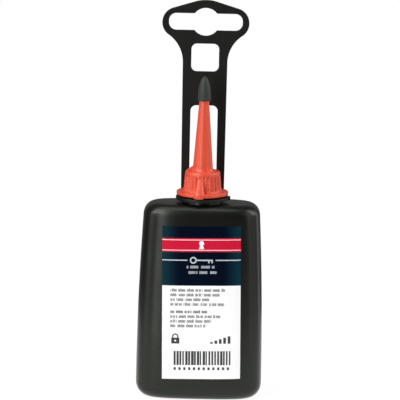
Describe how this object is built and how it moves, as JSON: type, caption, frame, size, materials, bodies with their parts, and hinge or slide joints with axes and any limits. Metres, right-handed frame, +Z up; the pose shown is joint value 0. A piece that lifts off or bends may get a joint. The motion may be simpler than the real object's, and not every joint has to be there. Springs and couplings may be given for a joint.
{
  "type": "graphite lock lubricant bottle",
  "caption": "Flat squeeze bottle of graphite lock lubricant with a screw nozzle cap, push-on tip cap and a swivelling, folding hanger.",
  "frame": {"origin": "centre of the flat base, on the neck's axis", "axes": "+Z up along the neck and nozzle; -Y is the front with the label; the hanger's plate stands on the +Y side"},
  "size_m": [0.0548, 0.0274, 0.1723],
  "materials": {
    "black_bottle": "satin",
    "black_hanger": "satin",
    "red_cap": "satin",
    "grey_tip": "satin",
    "label": "satin",
    "seal": "matte",
    "graphite": "matte"
  },
  "bodies": {
    "bottle": {"bottle": "black_bottle", "graphite_powder": "graphite", "front_label": "label"},
    "seal": {"sealing_washer": "seal"},
    "cap": {"nozzle_cap": "red_cap"},
    "tip": {"tip_cap": "grey_tip"},
    "ring": {"hanger_ring": "black_hanger", "hanger_film_hinge": "black_hanger"},
    "plate": {"hanger_plate": "black_hanger"}
  },
  "joints": [
    {"name": "seal_lift", "type": "slide", "parent": "bottle", "child": "seal", "axis": [0, 0, 1], "range_m": [0, 0.0045]},
    {"name": "cap_turn", "type": "hinge", "parent": "seal", "child": "cap", "pos_m": [0, 0, 0.0892], "axis": [0, 0, 1], "range_deg": [0, 540]},
    {"name": "tip_pull", "type": "slide", "parent": "cap", "child": "tip", "axis": [0, 0, 1], "range_m": [0, 0.015]},
    {"name": "hanger_swivel", "type": "hinge", "parent": "bottle", "child": "ring", "pos_m": [0, 0, 0.0878], "axis": [0, 0, 1], "continuous": true},
    {"name": "hanger_fold", "type": "hinge", "parent": "ring", "child": "plate", "pos_m": [0, 0.0134, 0.0878], "axis": [-1, 0, 0], "range_deg": [0, 90], "deforming": ["hanger_film_hinge"]}
  ],
  "couplings": [
    {"joint": "seal_lift", "follows": "cap_turn", "m_per_rad": 0.00047746}
  ]
}
